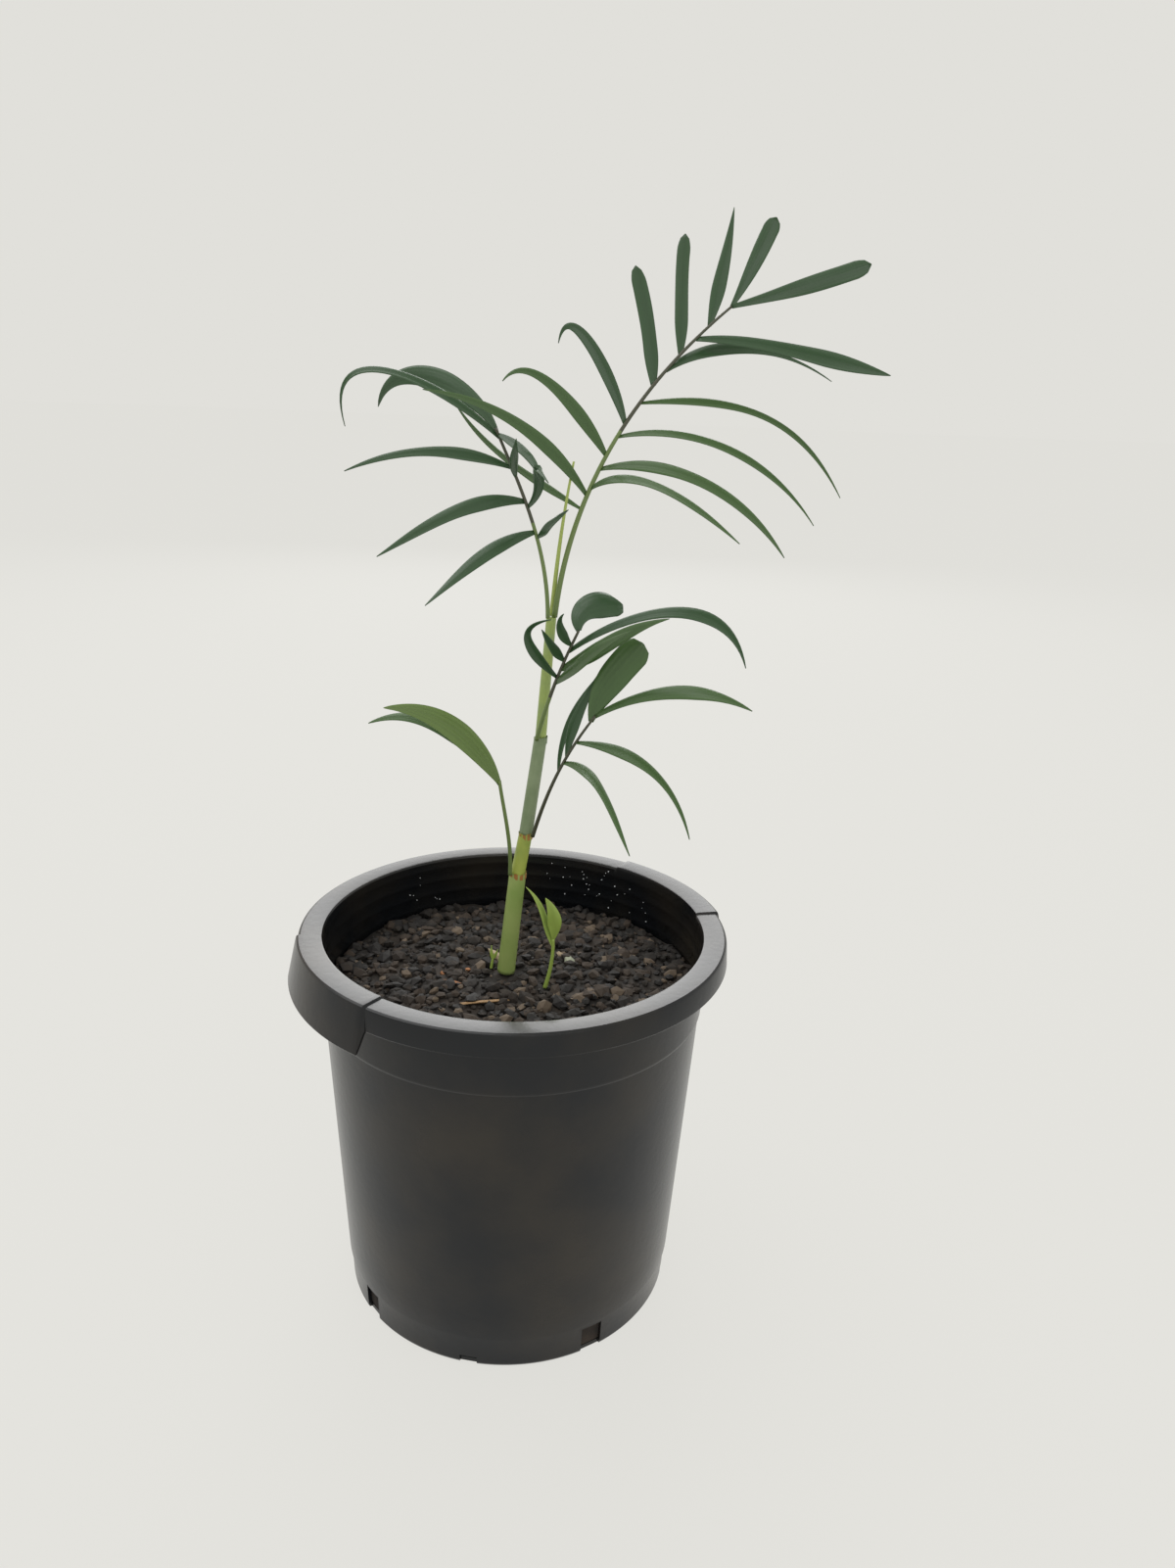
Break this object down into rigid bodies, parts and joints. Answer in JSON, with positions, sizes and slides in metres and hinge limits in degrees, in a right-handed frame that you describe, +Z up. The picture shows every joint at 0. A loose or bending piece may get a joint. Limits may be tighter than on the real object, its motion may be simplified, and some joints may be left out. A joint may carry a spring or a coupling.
{
  "type": "potted bamboo palm",
  "caption": "Young bamboo palm with arching feathered fronds on a slim leaning stem, in a round black nursery pot with a turned-over rim and lifting grips.",
  "frame": {"origin": "centre of the pot's flat underside, on the ground the pot stands on", "axes": "+Z up along the pot's axis; +X to the right and +Y away in the view of the picture; the top frond leans to +X"},
  "size_m": [0.2554, 0.2012, 0.5005],
  "materials": {
    "pot": "black moulded plastic, satin with dust",
    "soil": "dark moist potting mix with bark chips",
    "stem": "green leaf sheaths with a waxy bloom",
    "young_leaf": "soft yellow-green young leaf",
    "frond": "deep green leaflets"
  },
  "bodies": {
    "root": {"pot": "pot", "soil": "soil", "sheath_lowest": "stem", "sheath_second": "stem", "sheath_grey": "stem", "sheath_upper": "stem", "spear": "young_leaf", "frond_top": "frond", "frond_left": "frond", "frond_middle": "frond", "frond_lower": "frond", "low_leaf": "frond", "side_shoot": "young_leaf", "sprout": "young_leaf"}
  },
  "joints": []
}
